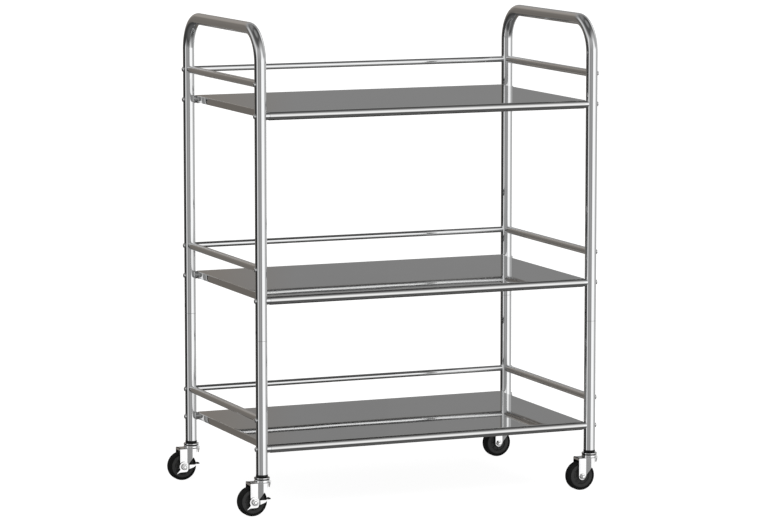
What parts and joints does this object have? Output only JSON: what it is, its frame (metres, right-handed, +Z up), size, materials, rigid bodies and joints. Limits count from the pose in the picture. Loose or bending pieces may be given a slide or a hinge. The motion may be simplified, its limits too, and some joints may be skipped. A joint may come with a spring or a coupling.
{
  "type": "rolling salon trolley",
  "caption": "Free-standing tiered trolley: bent tube side frames that form push handles, rolled-edge sheet shelves with guard rails, and swivel casters, some with foot brakes.",
  "frame": {"origin": "on the floor, under the middle of the whole trolley with its casters", "axes": "+X along the shelves towards the casters without brakes, -Y the open front, +Z up"},
  "size_m": [0.6704, 0.389, 0.828],
  "materials": {
    "chrome_tube": "bright chrome plate",
    "polished_sheet": "mirror polished",
    "caster_steel": "bright zinc plate",
    "bolt_steel": "bright",
    "plain_steel": "plain turned",
    "black_plastic": "satin moulded",
    "tyre_rubber": "matt"
  },
  "bodies": {
    "frame": {"left_upper_frame": "chrome_tube", "right_upper_frame": "chrome_tube", "front_left_lower_leg": "chrome_tube", "back_left_lower_leg": "chrome_tube", "front_right_lower_leg": "chrome_tube", "back_right_lower_leg": "chrome_tube", "top_back_rail": "chrome_tube", "middle_back_rail": "chrome_tube", "bottom_back_rail": "chrome_tube", "top_left_rail": "chrome_tube", "top_right_rail": "chrome_tube", "middle_left_rail": "chrome_tube", "middle_right_rail": "chrome_tube", "bottom_left_rail": "chrome_tube", "bottom_right_rail": "chrome_tube", "top_shelf": "polished_sheet", "middle_shelf": "polished_sheet", "bottom_shelf": "polished_sheet", "top_front_shelf_tube": "chrome_tube", "top_back_shelf_tube": "chrome_tube", "middle_front_shelf_tube": "chrome_tube", "middle_back_shelf_tube": "chrome_tube", "bottom_front_shelf_tube": "chrome_tube", "bottom_back_shelf_tube": "chrome_tube", "leg_joint_sleeves": "plain_steel", "leg_joint_pins": "plain_steel", "shelf_bolts": "bolt_steel", "front_rail_bolts": "bolt_steel", "back_rail_bolts": "bolt_steel", "shelf_tube_plugs": "plain_steel", "back_rail_plugs": "plain_steel", "side_rail_plugs": "plain_steel", "leg_sockets": "black_plastic", "caster_stems": "plain_steel", "swivel_caps": "caster_steel", "bearing_balls": "plain_steel"},
    "front_left_swivel": {"front_left_fork": "caster_steel", "front_left_axle_bolt": "bolt_steel", "front_left_axle_nut": "bolt_steel"},
    "front_left_wheel": {"front_left_wheel_hub": "black_plastic", "front_left_tyre": "tyre_rubber"},
    "back_left_swivel": {"back_left_fork": "caster_steel", "back_left_axle_bolt": "bolt_steel", "back_left_axle_nut": "bolt_steel"},
    "back_left_wheel": {"back_left_wheel_hub": "black_plastic", "back_left_tyre": "tyre_rubber"},
    "front_right_swivel": {"front_right_fork": "caster_steel", "front_right_axle_bolt": "bolt_steel", "front_right_axle_nut": "bolt_steel"},
    "front_right_wheel": {"front_right_wheel_hub": "black_plastic", "front_right_tyre": "tyre_rubber"},
    "back_right_swivel": {"back_right_fork": "caster_steel", "back_right_axle_bolt": "bolt_steel", "back_right_axle_nut": "bolt_steel"},
    "back_right_wheel": {"back_right_wheel_hub": "black_plastic", "back_right_tyre": "tyre_rubber"},
    "front_left_brake": {"front_left_brake_lever": "caster_steel"},
    "back_left_brake": {"back_left_brake_lever": "caster_steel"}
  },
  "joints": [
    {"name": "front_left_swivel_turn", "type": "hinge", "parent": "frame", "child": "front_left_swivel", "pos_m": [-0.29163, -0.1745, 0.0564], "axis": [0, 0, 1], "continuous": true},
    {"name": "front_left_wheel_spin", "type": "hinge", "parent": "front_left_swivel", "child": "front_left_wheel", "pos_m": [-0.30993, -0.1745, 0.02525], "axis": [0, 1, 0], "continuous": true},
    {"name": "back_left_swivel_turn", "type": "hinge", "parent": "frame", "child": "back_left_swivel", "pos_m": [-0.29163, 0.1795, 0.0564], "axis": [0, 0, 1], "continuous": true},
    {"name": "back_left_wheel_spin", "type": "hinge", "parent": "back_left_swivel", "child": "back_left_wheel", "pos_m": [-0.30993, 0.1795, 0.02525], "axis": [0, 1, 0], "continuous": true},
    {"name": "front_right_swivel_turn", "type": "hinge", "parent": "frame", "child": "front_right_swivel", "pos_m": [0.31838, -0.1745, 0.0564], "axis": [0, 0, 1], "continuous": true},
    {"name": "front_right_wheel_spin", "type": "hinge", "parent": "front_right_swivel", "child": "front_right_wheel", "pos_m": [0.30007, -0.1745, 0.02525], "axis": [0, 1, 0], "continuous": true},
    {"name": "back_right_swivel_turn", "type": "hinge", "parent": "frame", "child": "back_right_swivel", "pos_m": [0.31838, 0.1795, 0.0564], "axis": [0, 0, 1], "continuous": true},
    {"name": "back_right_wheel_spin", "type": "hinge", "parent": "back_right_swivel", "child": "back_right_wheel", "pos_m": [0.30007, 0.1795, 0.02525], "axis": [0, 1, 0], "continuous": true},
    {"name": "front_left_brake_press", "type": "hinge", "parent": "front_left_swivel", "child": "front_left_brake", "pos_m": [-0.30993, -0.1875, 0.02525], "axis": [0, 1, 0], "range_deg": [0, 14]},
    {"name": "back_left_brake_press", "type": "hinge", "parent": "back_left_swivel", "child": "back_left_brake", "pos_m": [-0.30993, 0.1665, 0.02525], "axis": [0, 1, 0], "range_deg": [0, 14]}
  ]
}
